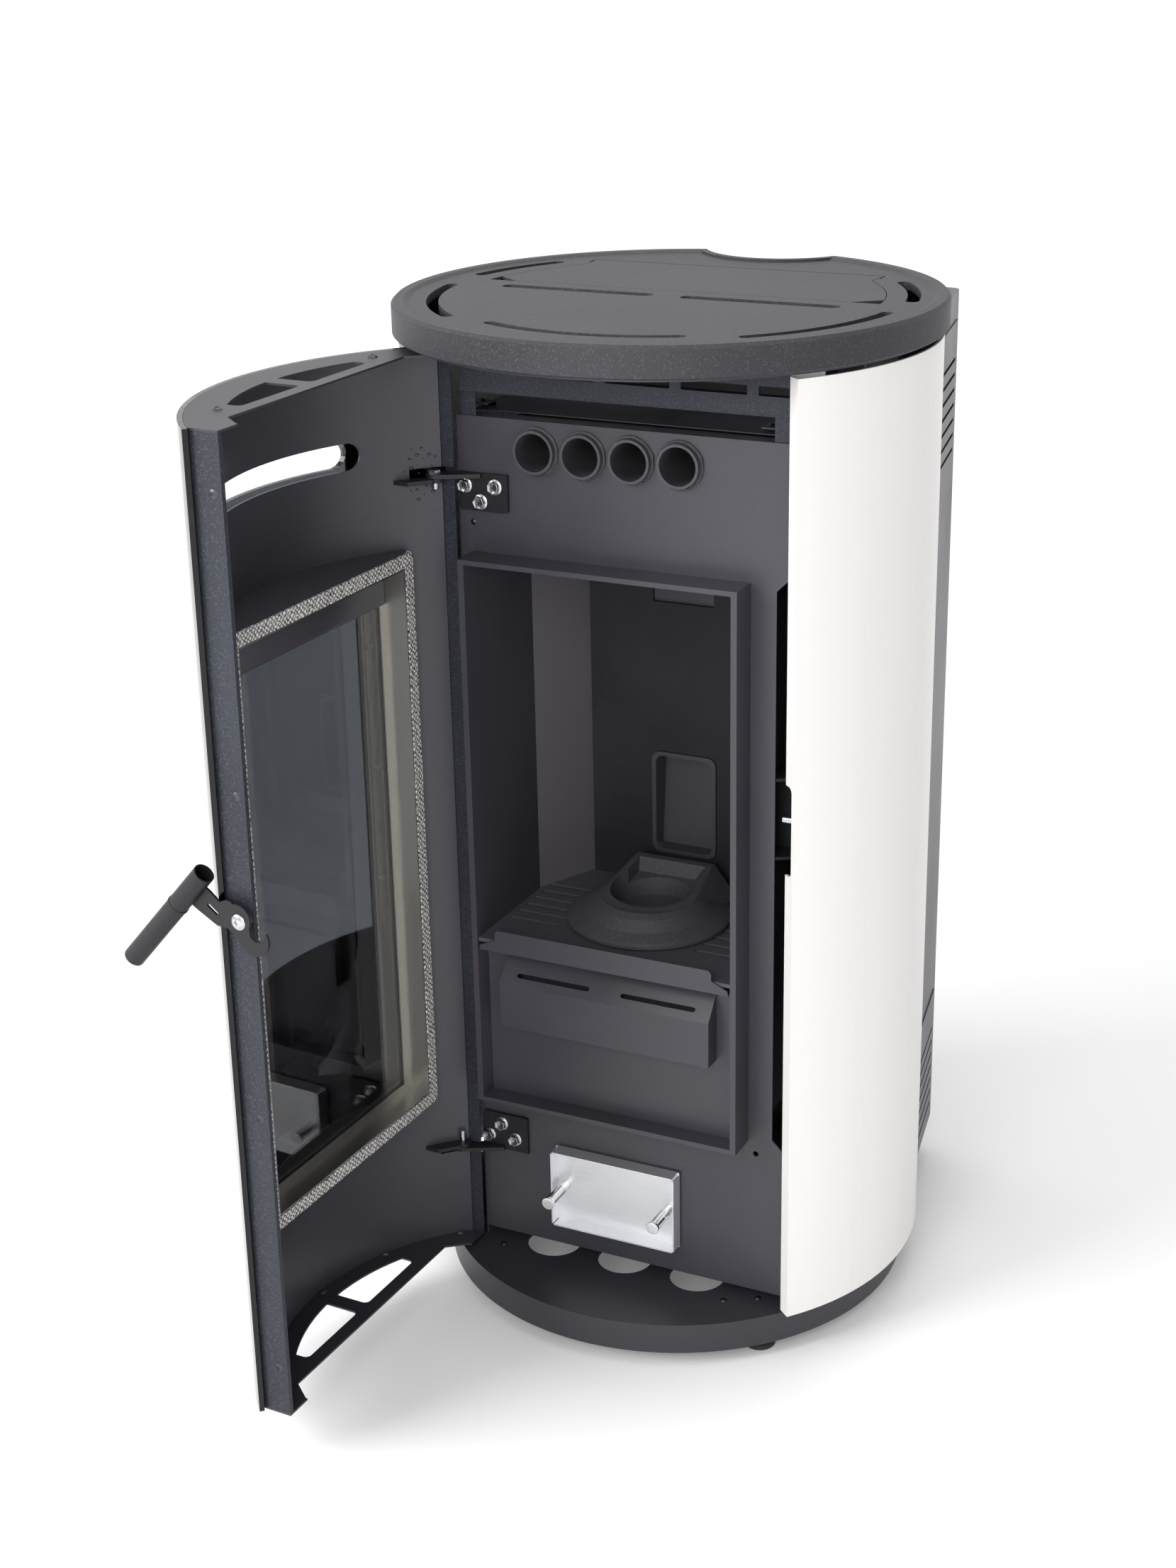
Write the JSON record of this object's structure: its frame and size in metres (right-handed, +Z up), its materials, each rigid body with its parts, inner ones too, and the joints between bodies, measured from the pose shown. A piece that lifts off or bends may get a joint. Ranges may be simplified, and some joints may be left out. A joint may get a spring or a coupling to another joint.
{
  "type": "pellet stove",
  "caption": "Round pellet stove with white curved side panels, a cast top with hopper lid, an open curved glass door with window box and latch, firebox, burn pot and ash cover.",
  "frame": {"origin": "on the stove's vertical axis at the underside of the base tray; the levelling feet reach 15 mm below it", "axes": "+Z up, front towards -Y, flue pipe leaves towards +Y; the door is stored open as pictured"},
  "size_m": [0.5782, 0.8909, 1.0555],
  "materials": {
    "dark_sheet": "satin",
    "grey_sheet": "satin",
    "blue_sheet": "satin",
    "white_panel": "gloss",
    "cast_top": "matt",
    "cast_dark": "matt",
    "fire_steel": "matt",
    "tube_steel": "satin",
    "black_steel": "satin",
    "zinc": "satin",
    "bright_steel": "satin",
    "galvanised": "satin",
    "grip_steel": "satin",
    "fibre": "matt",
    "rope": "matt",
    "rubber": "matt",
    "ceramic": "matt",
    "motor": "satin",
    "fan_alloy": "matt",
    "black_plastic": "matt",
    "dark_glass": "gloss",
    "clear_glass": "gloss"
  },
  "bodies": {
    "stove": {"base_plate": "dark_sheet", "levelling_feet": "rubber", "chassis": "dark_sheet", "top_plate": "cast_top", "lid_hinge_pins": "zinc", "vent_strip": "blue_sheet", "side_panel_left": "white_panel", "side_panel_right": "white_panel", "rear_housing": "grey_sheet", "louvre_panels": "grey_sheet", "front_plate": "grey_sheet", "firebox_body": "fire_steel", "firebox_collar": "grey_sheet", "heat_exchanger": "fire_steel", "heat_tubes": "tube_steel", "back_liner": "fire_steel", "apron_panel": "grey_sheet", "grate_plate": "cast_dark", "front_lip": "grey_sheet", "air_deflector": "grey_sheet", "ash_box": "fire_steel", "ash_cover_seal": "fibre", "hinge_brackets": "black_steel", "hinge_bolts": "zinc", "hinge_pins": "zinc", "striker_bracket": "black_steel", "striker_pin": "zinc", "hopper": "galvanised", "auger_tube": "galvanised", "gear_motor": "motor", "pellet_chute": "fire_steel", "igniter": "ceramic", "smoke_duct": "grey_sheet", "smoke_fan_housing": "fan_alloy", "room_fan_housing": "galvanised", "flue_outlet": "black_steel", "air_intake": "black_steel", "power_socket": "black_plastic", "control_box": "black_plastic"},
    "door": {"door_skin": "grey_sheet", "door_strips": "blue_sheet", "door_caps": "dark_sheet", "door_glass": "dark_glass", "window_box": "grey_sheet", "glass_frame": "bright_steel", "ceramic_glass": "clear_glass", "rope_gasket": "rope", "door_lugs": "black_steel", "door_screws": "zinc"},
    "latch": {"lever_plate": "black_steel", "lever_grip": "grip_steel"},
    "lid": {"hopper_lid": "cast_top"},
    "ash_cover": {"ash_cover": "galvanised"},
    "ash_knob_left": {"ash_knob_left": "zinc"},
    "ash_knob_right": {"ash_knob_right": "zinc"},
    "burn_pot": {"burn_pot": "cast_dark"},
    "auger": {"auger_screw": "bright_steel"},
    "smoke_fan": {"smoke_fan_wheel": "bright_steel"},
    "room_fan": {"room_fan_wheel": "dark_sheet"},
    "switch": {"power_switch": "black_plastic"}
  },
  "joints": [
    {"name": "door_hinge", "type": "hinge", "parent": "stove", "child": "door", "pos_m": [-0.175, -0.166, 0.5], "axis": [0, 0, -1], "range_deg": [-92, 13]},
    {"name": "latch_pivot", "type": "hinge", "parent": "door", "child": "latch", "pos_m": [-0.18133, -0.5335, 0.5615], "axis": [-0.0349, -0.9994, 0], "range_deg": [0, 41]},
    {"name": "lid_hinge", "type": "hinge", "parent": "stove", "child": "lid", "pos_m": [0, 0.1635, 1.0345], "axis": [-1, 0, 0], "range_deg": [0, 75]},
    {"name": "ash_cover_slide", "type": "slide", "parent": "stove", "child": "ash_cover", "axis": [0, -1, 0], "range_m": [0, 0.12]},
    {"name": "ash_knob_left_turn", "type": "hinge", "parent": "ash_cover", "child": "ash_knob_left", "pos_m": [-0.06, -0.19, 0.1185], "axis": [0, -1, 0], "continuous": true},
    {"name": "ash_knob_right_turn", "type": "hinge", "parent": "ash_cover", "child": "ash_knob_right", "pos_m": [0.06, -0.19, 0.1185], "axis": [0, -1, 0], "continuous": true},
    {"name": "burn_pot_lift", "type": "slide", "parent": "stove", "child": "burn_pot", "axis": [0, 0, 1], "range_m": [0, 0.05]},
    {"name": "auger_turn", "type": "hinge", "parent": "stove", "child": "auger", "pos_m": [0, 0.215, 0.39], "axis": [0, -0.5736, 0.8192], "continuous": true},
    {"name": "smoke_fan_turn", "type": "hinge", "parent": "stove", "child": "smoke_fan", "pos_m": [-0.06, 0.19, 0.15], "axis": [1, 0, 0], "continuous": true},
    {"name": "room_fan_turn", "type": "hinge", "parent": "stove", "child": "room_fan", "pos_m": [0.105, 0.19, 0.092], "axis": [1, 0, 0], "continuous": true},
    {"name": "switch_rock", "type": "hinge", "parent": "stove", "child": "switch", "pos_m": [0.12, 0.308, 0.095], "axis": [1, 0, 0], "range_deg": [0, 14]}
  ]
}
